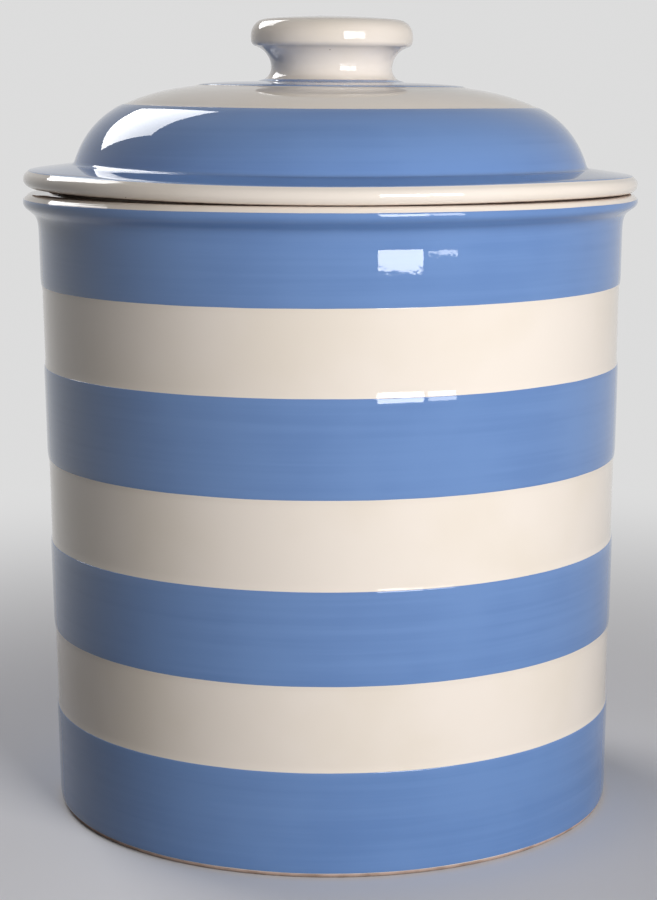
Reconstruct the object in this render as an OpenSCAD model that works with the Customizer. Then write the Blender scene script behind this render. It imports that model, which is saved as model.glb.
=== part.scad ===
// Lidded bread crock in banded earthenware, millimetres, +Z up, origin at the centre of the foot.
// Every piece is a profile drawn in the radius and height plane and turned once round the axis.
// Blue bands are layers of coloured slip that stand proud of the cream body.

/* [Crock body] */
// Outside diameter at the foot, without slip
foot_d = 255.8; // [200:0.2:340]
// Outside diameter of the wall just under the rim, without slip
neck_d = 263.4; // [210:0.2:350]
// Depth below the seat at which that diameter is measured
neck_depth = 19; // [14:1:30]
// Height of the seat that the lid rests on
seat_h = 281; // [220:1:380]
// Thickness of the side wall
wall_t = 6.5; // [5:0.5:12]
// Thickness of the floor
floor_t = 8; // [6:0.5:14]
// Radius inside the crock where the wall meets the floor
floor_corner_r = 14; // [6:1:24]

/* [Foot] */
// Width of the ring that the crock stands on
foot_ring_w = 9; // [6:0.5:14]
// Depth of the recess inside the foot ring
foot_recess = 3; // [1.5:0.5:5]
// Radius on the outer edge of the foot
foot_edge_r = 2; // [1:0.2:3]
// Height of bare clay between the rounded foot and the lowest band
foot_bare_h = 0.2; // [0:0.1:4]

/* [Rim of the crock] */
// How far the rolled rim stands out from the wall
rim_out = 6.8; // [5:0.1:12]
// Radius of the roll at the edge of the rim
rim_roll_r = 3.6; // [2.5:0.1:5]
// Slope of the flared underside, measured from upright
rim_flare_a = 50; // [35:1:60]
// Radius of the hollow where the flare leaves the wall
rim_hollow_r = 7.6; // [4:0.2:14]
// Radius on the inner edge of the mouth
mouth_edge_r = 3; // [1:0.2:5]

/* [Slip bands] */
// Thickness of the blue slip
slip_t = 0.6; // [0.3:0.1:1.2]
// Softened corner at the edge of a band
slip_edge = 0.3; // [0.1:0.05:0.5]
// Width of the blue band at the foot
band_foot_w = 44; // [20:0.5:60]
// Width of the cream band above it
gap_low_w = 37; // [20:0.5:60]
// Width of the lower blue band
band_lower_w = 40.3; // [20:0.1:60]
// Width of the cream band in the middle
gap_mid_w = 38; // [20:0.5:60]
// Width of the upper blue band
band_upper_w = 41.9; // [20:0.1:60]
// Width of the cream band under the rim band
gap_high_w = 36.3; // [20:0.1:60]
// Width of the blue band under the seat
band_rim_w = 41.3; // [25:0.1:60]
// Angle up the rim roll at which the blue ends
rim_slip_a = 10; // [0:1:40]

/* [Lid] */
// How far the lid's edge stands out past the rolled rim
lid_over = 0.2; // [-1:0.1:3]
// Radius of the roll at the edge of the lid
lid_roll_r = 3.6; // [2.5:0.1:5]
// Width of the flange from the lid's edge to the dome
flange_w = 23; // [16:0.1:40]
// Slope of the flange, falling outward
flange_a = 7.5; // [3:0.5:12]
// Height of the dome above the seat
dome_h = 47.1; // [30:0.2:80]
// Lean of the dome's side where it meets the flange
dome_lean_a = 18; // [4:1:24]
// Reach of the flat curve at the crown
crown_reach = 60; // [30:0.5:70]
// Reach of the upright curve at the side
side_reach = 21.5; // [15:0.5:34]
// Thickness of the lid
lid_t = 6; // [5:0.5:9]
// Radius of the hollow where the dome meets the flange
dome_hollow_r = 2.6; // [1.5:0.1:6]
// Depth below the crown at which the blue of the dome begins
crown_cream_h = 10.3; // [4:0.1:20]
// Radius at which the blue round the knob ends
crown_band_r = 60; // [45:0.5:75]
// Radius of the hollow in which that blue meets the knob
foot_hollow_r = 4; // [1:0.5:6]
// Angle round the lid's edge at which the blue of the flange ends
lid_slip_a = 70; // [50:1:78]

/* [Fit of the lid in the mouth] */
// Space between the lid and the seat, from the unevenness of fired clay
seat_gap = 0.3; // [0.2:0.1:0.6]
// Space all round between the locating ring and the mouth
ring_clear = 2; // [1:0.25:4]
// Depth of the locating ring below the seat
ring_h = 10; // [6:0.5:16]
// Thickness of the locating ring
ring_t = 6; // [5:0.5:8]
// Taper of the locating ring from top to bottom
ring_taper = 1; // [0.5:0.25:2]

/* [Knob] */
// Diameter of the knob's cap
knob_d = 73.2; // [56:0.2:90]
// Depth that the neck is cut in below the cap
neck_cut = 9.2; // [6:0.1:12]
// Height of the knob's upright base under the neck, buried in blue slip
knob_base_t = 1.9; // [1:0.1:3]
// Height of the knob above the lid
knob_h = 29.8; // [26:0.2:36]
// Radius of the hollow of the neck
knob_hollow_r = 7.8; // [6:0.1:9]
// Radius of the lower edge of the cap
cap_low_r = 2.7; // [2:0.1:4]
// Radius of the cap's shoulder
cap_shoulder_r = 7; // [6:0.5:10]
// Rise of the cap from its shoulder to its middle
cap_crown_h = 1.5; // [0.5:0.1:3]
// Wall of the hollow knob
knob_wall = 6; // [4:0.5:7]
// Diameter of the vent from the hollow knob into the lid
vent_d = 7; // [4:0.5:10]

/* [Hidden] */
$fn = 180;

cream = "#efe6d8";
blue = "#5f8cc4";

// Wall of the crock as a straight taper through the foot and neck diameters.
wall_slope = (neck_d - foot_d) / 2 / (seat_h - neck_depth);
wall_a = atan(wall_slope);
function wall_r(z, skin = 0) = foot_d / 2 + wall_slope * z + skin / cos(wall_a);
mouth_r = wall_r(seat_h) - wall_t;

// Heights of the band edges, each from the one below it. The widths fill the wall between the bare
// foot and the rim band, so a taller or lower crock spreads them in the same proportion.
z_foot_band = foot_edge_r + foot_bare_h;
z_rim_band = seat_h - band_rim_w;
widths = [band_foot_w, gap_low_w, band_lower_w, gap_mid_w, band_upper_w, gap_high_w];
function total(v, n) = n == 0 ? 0 : v[n - 1] + total(v, n - 1);
spread = (z_rim_band - z_foot_band) / total(widths, 6);
function edge_z(n) = z_foot_band + spread * total(widths, n);
z_gap_low = edge_z(1);
z_lower_band = edge_z(2);
z_gap_mid = edge_z(3);
z_upper_band = edge_z(4);
z_gap_high = edge_z(5);

// Points of the wall at the band edges, so that clay and slip share their circles.
wall_points = [for (n = [0:5]) [wall_r(edge_z(n)), edge_z(n)]];

// Small geometry helpers.
function polar(r, a) = r * [cos(a), sin(a)];
function unit(v) = v / norm(v);
function arc(centre, r, a0, a1, n) =
    [for (i = [0:n]) centre + polar(r, a0 + (a1 - a0) * i / n)];
function after_first(v) = [for (i = [1:len(v) - 1]) v[i]];

// Corner p1 between p0 and p2, rounded to radius r by n chords.
function corner(p0, p1, p2, r, n = 6) =
    let (d0 = unit(p0 - p1))
    let (d2 = unit(p2 - p1))
    let (half = acos(d0 * d2) / 2)
    let (centre = p1 + unit(d0 + d2) * r / sin(half))
    let (t0 = p1 + d0 * r / tan(half) - centre)
    let (t2 = p1 + d2 * r / tan(half) - centre)
    let (a0 = atan2(t0.y, t0.x))
    let (a2 = atan2(t2.y, t2.x))
    let (turn = a2 - a0 > 180 ? a2 - a0 - 360 : a2 - a0 < -180 ? a2 - a0 + 360 : a2 - a0)
    arc(centre, r, a0, a0 + turn, n);

// Turns a profile of [radius, height] points round the axis.
module turned(points) {
    rotate_extrude() polygon(points);
}

// Rolled rim of the crock. The roll is a circle, and the flare leaves it at rim_flare_a.
rim_r = neck_d / 2 + rim_out;
rim_c = [rim_r - rim_roll_r, seat_h - rim_roll_r];
function flare_start(skin) = rim_c + polar(rim_roll_r + skin, -rim_flare_a);
flare_dir = [sin(rim_flare_a), cos(rim_flare_a)];
function flare_run(skin) =
    (wall_r(flare_start(skin).y, skin) - flare_start(skin).x)
    / (flare_dir.x - wall_slope * flare_dir.y);
function neck_corner(skin) = flare_start(skin) + flare_run(skin) * flare_dir;

// Wall, neck hollow and underside of the rim, from height z0 to angle a1 round the roll.
function rim_outline(skin, z0, a1) =
    let (start = [wall_r(z0, skin), z0])
    concat(
        [start],
        corner(start, neck_corner(skin), flare_start(skin), rim_hollow_r - skin, 8),
        arc(rim_c, rim_roll_r + skin, -rim_flare_a, a1, 8)
    );

// Turn round a roll of radius r that the softened edge of the slip takes.
function soft_a(r) = asin(slip_edge / (r + slip_t));

// Band on the wall from z0 to z1, with softened outer corners.
function band_outline(z0, z1) = [
    [wall_r(z0), z0],
    [wall_r(z0, slip_t - slip_edge), z0],
    [wall_r(z0 + slip_edge, slip_t), z0 + slip_edge],
    [wall_r(z1 - slip_edge, slip_t), z1 - slip_edge],
    [wall_r(z1, slip_t - slip_edge), z1],
    [wall_r(z1), z1]
];

// Knob, drawn from its landing on the lid. Its neck is a hollow that starts on the base.
knob_r = knob_d / 2;
neck_r = knob_r - neck_cut;
hollow_start = 0.82;
hollow_c = [neck_r + knob_hollow_r, knob_base_t + knob_hollow_r * hollow_start];
base_a = 180 + asin(hollow_start);
knob_base_r = hollow_c.x + knob_hollow_r * cos(base_a);
knob_land = 0.6;
low_c = [
    knob_r - cap_low_r,
    hollow_c.y + sqrt(pow(knob_hollow_r + cap_low_r, 2) - pow(hollow_c.x - knob_r + cap_low_r, 2))
];
join_a = atan2(low_c.y - hollow_c.y, low_c.x - hollow_c.x);
cap_z = low_c.y;
shoulder_r = min(cap_shoulder_r, knob_h - cap_crown_h - cap_z);
shoulder_c = [knob_r - shoulder_r, knob_h - cap_crown_h - shoulder_r];
shoulder_a = 84;
shoulder_end = shoulder_c + polar(shoulder_r, shoulder_a);
crown_rise = knob_h - shoulder_end.y;

// Hollow inside the knob, narrow in the neck and wide in the cap.
cap_wall_more = 3;
roof_more = 1;
wide_least_h = 4.9;
throat_h = 5;
roof_corner_r = 4;
wide_corner_r = 3;
throat_corner_r = 4;
cavity_r = neck_r - knob_wall;
cavity_wide_r = knob_r - knob_wall - cap_wall_more;
cavity_top = knob_h - knob_wall - roof_more;
cavity_z = min(cap_z, cavity_top - wide_least_h);

// Lid, drawn from the level of its underside.
lid_z = seat_h + seat_gap;
lid_r = rim_r + lid_over;
lid_c = [lid_r - lid_roll_r, lid_z + lid_roll_r];
flange_n = 90 - flange_a;
flange_edge = lid_c + polar(lid_roll_r, flange_n);
dome_foot_r = lid_r - flange_w;
dome_foot = [dome_foot_r, flange_edge.y + (flange_edge.x - dome_foot_r) * tan(flange_a)];
side_dir = [-sin(dome_lean_a), cos(dome_lean_a)];
flange_dir = [cos(flange_a), -sin(flange_a)];
hollow_half = acos(side_dir * flange_dir) / 2;
hollow_run = dome_hollow_r / tan(hollow_half);
crown_z = lid_z + dome_h;
landing_r = knob_base_r + knob_land;

// Dome as one curve from the landing under the knob to the start of the flange hollow.
dome_p0 = [landing_r, crown_z];
dome_p1 = dome_p0 + [crown_reach, 0];
dome_p3 = dome_foot + side_dir * hollow_run;
dome_p2 = dome_p3 + side_dir * side_reach;
function dome_at(t) =
    pow(1 - t, 3) * dome_p0 + 3 * pow(1 - t, 2) * t * dome_p1
    + 3 * (1 - t) * t * t * dome_p2 + t * t * t * dome_p3;
function dome_run(t) =
    pow(1 - t, 2) * (dome_p1 - dome_p0) + 2 * (1 - t) * t * (dome_p2 - dome_p1)
    + t * t * (dome_p3 - dome_p2);
function dome_out(t) = let (d = unit(dome_run(t))) [-d.y, d.x];
function dome_skin(t0, t1, skin, n) =
    [for (i = [0:n]) let (t = t0 + (t1 - t0) * i / n) dome_at(t) + skin * dome_out(t)];

// Place along the dome at height z, found by halving.
function dome_t(z, low = 0, high = 1, steps = 24) =
    steps == 0 ? (low + high) / 2
    : let (mid = (low + high) / 2)
      dome_at(mid).y > z ? dome_t(z, mid, high, steps - 1) : dome_t(z, low, mid, steps - 1);
blue_t = dome_t(crown_z - crown_cream_h);

// Place along the dome at radius r, found in the same way.
function dome_t_r(r, low = 0, high = 1, steps = 24) =
    steps == 0 ? (low + high) / 2
    : let (mid = (low + high) / 2)
      dome_at(mid).x < r ? dome_t_r(r, mid, high, steps - 1) : dome_t_r(r, low, mid, steps - 1);
crown_t = dome_t_r(crown_band_r);

// Share of the curve that the softened edge of the slip takes at place t.
function soft_step(t) = slip_edge / norm(3 * dome_run(t));

// Hollow between dome and flange, and the flange's top to angle a1 on the edge.
function flange_skin(skin, a1) =
    let (side = dome_foot + side_dir * hollow_run * 2)
    let (lift = skin * polar(1, flange_n))
    let (foot = dome_foot + lift + flange_dir * (-lift.x + skin / cos(dome_lean_a)) / flange_dir.x)
    concat(
        corner(side + skin * [cos(dome_lean_a), sin(dome_lean_a)], foot, flange_edge + lift,
            dome_hollow_r - skin, 6),
        arc(lid_c, lid_roll_r + skin, flange_n, a1, 3)
    );

// Locating ring under the lid, inside the mouth.
ring_r = mouth_r - ring_clear;
ring_root_r = 2;
ring_edge_r = 2;
ring_cove_r = 5;
dome_knee_r = 3;
knee_rise = 1;
knee_run = 2;
ring_bottom = seat_h - ring_h;

// Small radii under the foot.
recess_corner_r = 2;
ring_in_edge_r = 1.2;

module crock_body() {
    inner_top = [mouth_r, seat_h];
    floor_z = foot_recess + floor_t;
    inner_low = [wall_r(floor_z) - wall_t, floor_z];
    ring_in_r = foot_d / 2 - foot_edge_r - foot_ring_w;
    outer_low = [foot_d / 2, 0];
    recess_mid = [0, foot_recess];
    recess_edge = [ring_in_r - foot_recess, foot_recess];
    ring_in = [ring_in_r, 0];
    color(cream) turned(concat(
        [recess_mid],
        corner(recess_mid, recess_edge, ring_in, recess_corner_r, 4),
        corner(recess_edge, ring_in, outer_low, ring_in_edge_r, 4),
        corner(ring_in, outer_low, wall_points[0], foot_edge_r, 6),
        wall_points,
        rim_outline(0, z_rim_band, rim_slip_a),
        after_first(arc(rim_c, rim_roll_r, rim_slip_a, 90, 10)),
        corner(rim_c + [0, rim_roll_r], inner_top, inner_low, mouth_edge_r, 6),
        corner(inner_top, inner_low, [0, floor_z], floor_corner_r, 10),
        [[0, floor_z]]
    ));
}

module foot_slip_band() {
    color(blue) turned(band_outline(z_foot_band, z_gap_low));
}

module lower_slip_band() {
    color(blue) turned(band_outline(z_lower_band, z_gap_mid));
}

module upper_slip_band() {
    color(blue) turned(band_outline(z_upper_band, z_gap_high));
}

module rim_slip_band() {
    inside = rim_outline(0, z_rim_band, rim_slip_a);
    outside = rim_outline(slip_t, z_rim_band + slip_edge, rim_slip_a - soft_a(rim_roll_r));
    end = rim_c + polar(rim_roll_r + slip_t - slip_edge, rim_slip_a);
    color(blue) turned(concat(
        [[wall_r(z_rim_band, slip_t - slip_edge), z_rim_band]],
        outside,
        [end],
        [for (i = [len(inside) - 1:-1:0]) inside[i]]
    ));
}

module lid_shell() {
    outer = concat(
        [[vent_d / 2, crown_z]],
        dome_skin(0, crown_t, 0, 10),
        after_first(dome_skin(crown_t, blue_t, 0, 10)),
        after_first(dome_skin(blue_t, 1, 0, 22)),
        flange_skin(0, lid_slip_a),
        after_first(arc(lid_c, lid_roll_r, lid_slip_a, -90, 16))
    );
    root = [ring_r, lid_z];
    ring_low = [ring_r - ring_taper, ring_bottom];
    ring_low_in = [ring_r - ring_t, ring_bottom];
    ring_top_in = [ring_r - ring_t + ring_taper, lid_z + knee_rise];
    inner_end = dome_at(1) - lid_t * dome_out(1);
    inner_knee = inner_end - side_dir * knee_run;
    under = concat(
        corner(lid_c - [0, lid_roll_r], root, ring_low, ring_root_r, 4),
        corner(root, ring_low, ring_low_in, ring_edge_r, 5),
        corner(ring_low, ring_low_in, ring_top_in, ring_edge_r, 5),
        corner(ring_low_in, ring_top_in, inner_knee, ring_cove_r, 4),
        corner(ring_top_in, inner_knee, inner_end, dome_knee_r, 3)
    );
    inner = dome_skin(1, 0, -lid_t, 24);
    color(cream) turned(concat(outer, under, inner, [[vent_d / 2, crown_z - lid_t]]));
}

module lid_slip_band() {
    inside = concat(dome_skin(blue_t, 1, 0, 22), flange_skin(0, lid_slip_a));
    flange_end = lid_slip_a + soft_a(lid_roll_r);
    outside = concat(
        dome_skin(blue_t + soft_step(blue_t), 1, slip_t, 22), flange_skin(slip_t, flange_end));
    start = dome_at(blue_t) + (slip_t - slip_edge) * dome_out(blue_t);
    end = lid_c + polar(lid_roll_r + slip_t - slip_edge, lid_slip_a);
    color(blue) turned(concat(
        [start],
        outside,
        [end],
        [for (i = [len(inside) - 1:-1:0]) inside[i]]
    ));
}

// Blue round the knob. It starts on the foot of the neck and fills the corner under it.
module crown_slip_band() {
    foot = [knob_base_r, crown_z + knob_base_t];
    toe_run = (knob_base_t - slip_t) / -cos(base_a);
    toe = foot + polar(toe_run, base_a + 90);
    start_t = dome_t_r(toe.x + foot_hollow_r);
    outside = dome_skin(start_t, crown_t - soft_step(crown_t), slip_t, 8);
    color(blue) turned(concat(
        [[knob_base_r, crown_z], foot],
        corner(foot, toe, outside[0], foot_hollow_r, 5),
        outside,
        [dome_at(crown_t) + (slip_t - slip_edge) * dome_out(crown_t)],
        dome_skin(crown_t, 0, 0, 10)
    ));
}

module lid_knob() {
    base = [knob_base_r, 0];
    cavity_in = [cavity_r, 0];
    cavity_neck = [cavity_r, cavity_z - throat_h];
    cavity_wide = [cavity_wide_r, cavity_z];
    cavity_roof = [cavity_wide_r, cavity_top];
    roof_mid = [0, cavity_top];
    crown = [for (s = [0.75, 0.5, 0.25, 0])
        [s * shoulder_end.x, knob_h - s * s * crown_rise]];
    color(cream) translate([0, 0, crown_z]) turned(concat(
        [cavity_in, base],
        arc(hollow_c, knob_hollow_r, base_a, join_a, 14),
        arc(low_c, cap_low_r, join_a - 180, 0, 8),
        arc(shoulder_c, shoulder_r, 0, shoulder_a, 12),
        crown,
        [roof_mid],
        corner(roof_mid, cavity_roof, cavity_wide, roof_corner_r, 5),
        corner(cavity_roof, cavity_wide, cavity_neck, wide_corner_r, 4),
        corner(cavity_wide, cavity_neck, cavity_in, throat_corner_r, 4)
    ));
}

crock_body();
foot_slip_band();
lower_slip_band();
upper_slip_band();
rim_slip_band();
lid_shell();
lid_slip_band();
crown_slip_band();
lid_knob();
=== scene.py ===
"""Lidded bread crock in banded earthenware.

Every piece is an outline turned on the crock's axis. The pieces are glazed and set on a plain stage.
"""

import math

import bpy
from mathutils import Matrix, Vector


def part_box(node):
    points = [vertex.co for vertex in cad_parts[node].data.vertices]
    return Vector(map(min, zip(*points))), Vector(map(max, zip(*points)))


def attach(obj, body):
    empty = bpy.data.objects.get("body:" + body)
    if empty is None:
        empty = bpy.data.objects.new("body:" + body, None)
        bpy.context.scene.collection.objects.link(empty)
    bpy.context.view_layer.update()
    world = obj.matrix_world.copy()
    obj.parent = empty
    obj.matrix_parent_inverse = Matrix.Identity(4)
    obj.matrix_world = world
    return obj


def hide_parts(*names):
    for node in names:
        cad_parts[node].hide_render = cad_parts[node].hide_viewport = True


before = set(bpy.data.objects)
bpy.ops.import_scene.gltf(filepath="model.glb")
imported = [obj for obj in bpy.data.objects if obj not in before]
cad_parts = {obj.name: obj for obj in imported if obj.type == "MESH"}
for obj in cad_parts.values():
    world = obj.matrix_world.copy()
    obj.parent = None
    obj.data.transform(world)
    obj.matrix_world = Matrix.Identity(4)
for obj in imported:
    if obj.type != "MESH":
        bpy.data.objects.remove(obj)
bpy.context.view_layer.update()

bl_info = {
    "name": "Banded Bread Crock",
    "version": (1, 0, 0),
    "blender": (4, 5, 0),
    "location": "3D View > Sidebar > Crock",
    "description": "Models a lidded earthenware bread crock with raised blue slip bands",
    "category": "Add Mesh",
}

MM = 0.001
# Steps in which an outline is turned round the axis.
TURN_STEPS = 288

# Distance within which points of an outline are one point, and points of a mesh.
SAME_POINT = 0.01 * MM
WELD = 0.004 * MM

# Longest steps along the wall outside, the rim's flare, the wall inside, flat faces and the lid's edge.
WALL_STEP = 4 * MM
FLARE_STEP = 1 * MM
INSIDE_STEP = 9 * MM
FLAT_STEP = 12 * MM
EDGE_STEP = 1.5 * MM

# Longest steps along a layer of slip, on the wall, over the rim and over the lid.
BAND_STEP = 3 * MM
RIM_BAND_STEP = 0.5 * MM
LID_BAND_STEP = 0.9 * MM

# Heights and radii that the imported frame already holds.
BODY_LOW, BODY_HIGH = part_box("crock_body")
LID_LOW, LID_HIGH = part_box("lid_shell")
KNOB_LOW, KNOB_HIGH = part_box("lid_knob")

# The bands on the wall, and the nodes that they stand for.
WALL_BANDS = {
    "foot_band": "foot_slip_band",
    "lower_band": "lower_slip_band",
    "upper_band": "upper_slip_band",
}


def linear(code):
    """Linear red, green and blue of an sRGB hex colour such as "efe6d8"."""
    shares = [int(code[i : i + 2], 16) / 255 for i in (0, 2, 4)]
    return [c / 12.92 if c <= 0.04045 else ((c + 0.055) / 1.055) ** 2.4 for c in shares]


def length(name, metres, about):
    return bpy.props.FloatProperty(
        name=name, description=about, default=metres, min=0, precision=5, unit="LENGTH"
    )


def slope(name, degrees, about):
    return bpy.props.FloatProperty(
        name=name, description=about, default=math.radians(degrees), subtype="ANGLE"
    )


def tint(name, code, about):
    return bpy.props.FloatVectorProperty(
        name=name, description=about, default=linear(code), min=0, max=1, subtype="COLOR"
    )


class CrockSizes(bpy.types.PropertyGroup):
    """Sizes of the crock's body."""

    seat_h: length("Seat height", BODY_HIGH.z, "Height of the seat that the lid rests on")
    rim_r: length("Rim radius", BODY_HIGH.x, "Outer radius of the rolled rim")
    foot_r: length("Foot radius", 127.9 * MM, "Outer radius at the foot")
    neck_r: length("Neck radius", 131.7 * MM, "Outer radius of the wall under the rim")
    neck_depth: length("Neck depth", 19 * MM, "Depth below the seat of the neck radius")
    wall_t: length("Wall", 6.5 * MM, "Thickness of the side wall")
    floor_t: length("Floor", 8 * MM, "Thickness of the floor")
    floor_corner_r: length("Floor corner", 14 * MM, "Radius where wall and floor meet inside")
    foot_ring_w: length("Foot ring", 9 * MM, "Width of the ring that the crock stands on")
    foot_recess: length("Foot recess", 3 * MM, "Depth of the recess inside the foot ring")
    foot_edge_r: length("Foot edge", 2 * MM, "Radius on the outer edge of the foot")
    foot_bare_h: length("Bare clay", 2.2 * MM, "Height of clay left bare above the ground")
    roll_r: length("Rim roll", 3.6 * MM, "Radius of the roll at the edge of the rim")
    hollow_low: length("Hollow below", 7.4 * MM, "Reach of the hollow under the rim, down the wall")
    hollow_high: length("Hollow above", 3.4 * MM, "Reach of the hollow under the rim, up the flare")
    mouth_edge_r: length("Mouth edge", 3 * MM, "Radius on the inner edge of the mouth")
    flare_a: slope("Rim flare", 50, "Slope of the flared underside, from upright")
    sag_left: length("Rim sag left", 0.2 * MM, "Fall of the fired rim's top at the left")
    sag_right: length("Rim sag right", 1.5 * MM, "Fall of the fired rim's top at the right")
    sag_spared: length("Rim sag spared", 0.45 * MM, "How much less the rim falls at front and back")


class SlipSizes(bpy.types.PropertyGroup):
    """Sizes of the blue slip layers."""

    slip_t: length("Slip", 0.6 * MM, "Thickness of a layer of slip")
    edge_t: length("Slip edge", 0.36 * MM, "Thickness of a layer at its edge")
    edge_r: length("Edge round", 0.25 * MM, "Width over which the edge is rounded by the glaze")
    crown_w: length("Edge fall", 4 * MM, "Width over which the layer thins towards its edge")
    sunk: length("Sunk", 0.15 * MM, "Depth of the layer's back inside the clay")
    fillet_t: length("Glaze fillet", 0.28 * MM, "Height to which glaze fills the step beside a band")
    fillet_w: length("Fillet width", 3.2 * MM, "Width of that fillet on the wall")
    roll_fillet_w: length("Roll fillet", 1.2 * MM, "Width of that fillet on a rolled edge")
    rim_a: slope("Rim band end", 18, "Angle up the rim roll at which the blue ends")
    lid_a: slope("Lid band end", 70, "Angle round the lid's edge at which the blue ends")
    crown_h: length("Cream crown", 10.3 * MM, "Depth below the crown at which the blue begins")
    crown_r: length("Crown band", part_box("crown_slip_band")[1].x, "Outer radius of the blue at the knob")


class LidSizes(bpy.types.PropertyGroup):
    """Sizes of the lid."""

    underside_h: length("Underside", 281.3 * MM, "Height of the lid's underside")
    crown_h: length("Crown height", LID_HIGH.z, "Height of the lid's crown")
    lid_r: length("Lid radius", LID_HIGH.x, "Outer radius of the lid")
    roll_r: length("Lid roll", 3.6 * MM, "Radius of the roll at the edge of the lid")
    flange_w: length("Flange", 23 * MM, "Width of the flange from the edge to the dome")
    flange_a: slope("Flange fall", 7.5, "Slope of the flange, falling outward")
    lean_a: slope("Dome lean", 18, "Lean of the dome's side where it meets the flange")
    crown_reach: length("Crown reach", 60 * MM, "Reach of the flat curve at the crown")
    side_reach: length("Side reach", 21.5 * MM, "Reach of the upright curve at the side")
    hollow_r: length("Dome hollow", 2.6 * MM, "Radius where the dome meets the flange")
    lid_t: length("Lid wall", 6 * MM, "Thickness of the lid")
    ring_low: length("Ring bottom", LID_LOW.z, "Height of the locating ring's lower edge")
    ring_r: length("Ring radius", 123.475 * MM, "Outer radius of the locating ring")
    ring_t: length("Ring wall", 6 * MM, "Thickness of the locating ring")
    ring_taper: length("Ring taper", 1 * MM, "Taper of the locating ring")
    landing_r: length("Landing", 31.34 * MM, "Radius of the landing under the knob")
    vent_r: length("Vent", 3.5 * MM, "Radius of the vent into the knob")
    tilt_a: slope("Tilt", 0.8, "Lean of the lid on its uneven seat, up at the left")
    rise: length("Rise", 0.4 * MM, "Rise of the lid's middle above its even place")
    front_fall: length("Front fall", 0.75 * MM, "Fall of the fired lid's edge at the front")
    left_fall: length("Left fall", 0.4 * MM, "Fall of the lid's edge at the front left")
    right_rise: length("Right rise", 1.3 * MM, "Rise of the lid's edge at the front right")


class KnobSizes(bpy.types.PropertyGroup):
    """Sizes of the knob."""

    low_h: length("Knob foot", KNOB_LOW.z, "Height of the knob's underside")
    top_h: length("Knob top", KNOB_HIGH.z, "Height of the knob's top")
    knob_r: length("Knob radius", KNOB_HIGH.x, "Outer radius of the cap")
    neck_r: length("Neck radius", 27.4 * MM, "Radius of the narrowest part of the neck")
    neck_h: length("Neck height", 6.7 * MM, "Height of the narrowest part above the knob's underside")
    hollow_r: length("Neck hollow", 9.8 * MM, "Radius of the neck's hollow above its narrowest part")
    flare_r: length("Neck flare", 6 * MM, "Radius of the neck's hollow below its narrowest part")
    cap_low_r: length("Cap underside", 2.7 * MM, "Radius of the lower edge of the cap")
    side_r: length("Cap side", 12 * MM, "Radius of the cap's bulging side")
    side_a: slope("Cap side turn", 10.5, "Half the turn of the cap's bulging side")
    shoulder_r: length("Cap shoulder", 7 * MM, "Radius of the cap's shoulder")
    foot_fill_r: length("Foot hollow", 4.6 * MM, "Radius in which the slip meets the neck")
    wall_t: length("Knob wall", 6 * MM, "Wall of the hollow knob")


class GlazeColours(bpy.types.PropertyGroup):
    """Colours of the fired clay, slip and glaze."""

    cream: tint("Cream", "f0e5da", "Cream glaze over pale clay")
    cream_thick: tint("Cream pool", "e8dccc", "Cream glaze where it lies thicker")
    speck: tint("Speck", "7d6651", "Iron speck under the glaze")
    blue: tint("Blue", "6a8dc3", "Blue slip under clear glaze")
    blue_thick: tint("Blue pool", "6184bb", "Blue slip where it lies thicker")
    blue_thin: tint("Blue edge", "8ea9d4", "Blue slip where it thins and the clay shows through")
    bare: tint("Bare clay", "c8ada0", "Unglazed fired clay")
    bare_dark: tint("Bare clay dark", "a88f82", "Unglazed clay where it is soiled")
    floor: tint("Floor", "e3e2e5", "Painted floor of the stage, as it is seen")
    floor_dim: tint("Floor shade", "8a8886", "Painted floor of the stage, as it lights the crock")
    backdrop: tint("Backdrop", "ffffff", "Backdrop of the stage")


def polar(r, a):
    return Vector((r * math.cos(a), r * math.sin(a)))


def arc(centre, r, a0, a1, n):
    """Points round a centre from angle a0 to a1."""
    return [centre + polar(r, a0 + (a1 - a0) * i / n) for i in range(n + 1)]


def straight(p0, p1, step):
    """Points from p0 to p1, no more than a step apart."""
    n = max(1, math.ceil((p1 - p0).length / step))
    return [p0.lerp(p1, i / n) for i in range(n + 1)]


def rounded(p0, p1, p2, r, n=8):
    """The corner p1 between p0 and p2, rounded to radius r."""
    d0, d2 = (p0 - p1).normalized(), (p2 - p1).normalized()
    half = d0.angle(d2) / 2
    centre = p1 + (d0 + d2).normalized() * r / math.sin(half)
    t0 = p1 + d0 * r / math.tan(half) - centre
    t2 = p1 + d2 * r / math.tan(half) - centre
    a0 = math.atan2(t0.y, t0.x)
    turn = math.remainder(math.atan2(t2.y, t2.x) - a0, math.tau)
    return arc(centre, r, a0, a0 + turn, n)


def curve(p0, p1, p2, p3, n):
    """Points along the smooth curve from p0 to p3 whose handles end at p1 and p2."""
    shares = [i / n for i in range(n + 1)]
    return [
        p0 * (1 - t) ** 3 + p1 * 3 * t * (1 - t) ** 2 + p2 * 3 * t * t * (1 - t) + p3 * t ** 3
        for t in shares
    ]


def joined(*runs):
    """One outline from several runs of points, with points that repeat left out."""
    points = []
    for p in [p for run in runs for p in run]:
        if not points or (p - points[-1]).length > SAME_POINT:
            points.append(p)
    return points


def outward(points):
    """Direction square to an outline at each of its points, to the right of its run."""
    runs = [(b - a).normalized() for a, b in zip(points, points[1:])]
    ends = [runs[0], *[(a + b).normalized() for a, b in zip(runs, runs[1:])], runs[-1]]
    return [Vector((d.y, -d.x)) for d in ends]


def moved_out(points, distance):
    return [p + n * distance for p, n in zip(points, outward(points))]


def along(points):
    """Distance of each point of an outline from its start."""
    reached = [0.0]
    for a, b in zip(points, points[1:]):
        reached.append(reached[-1] + (b - a).length)
    return reached


RADIUS, HEIGHT = 0, 1


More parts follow.
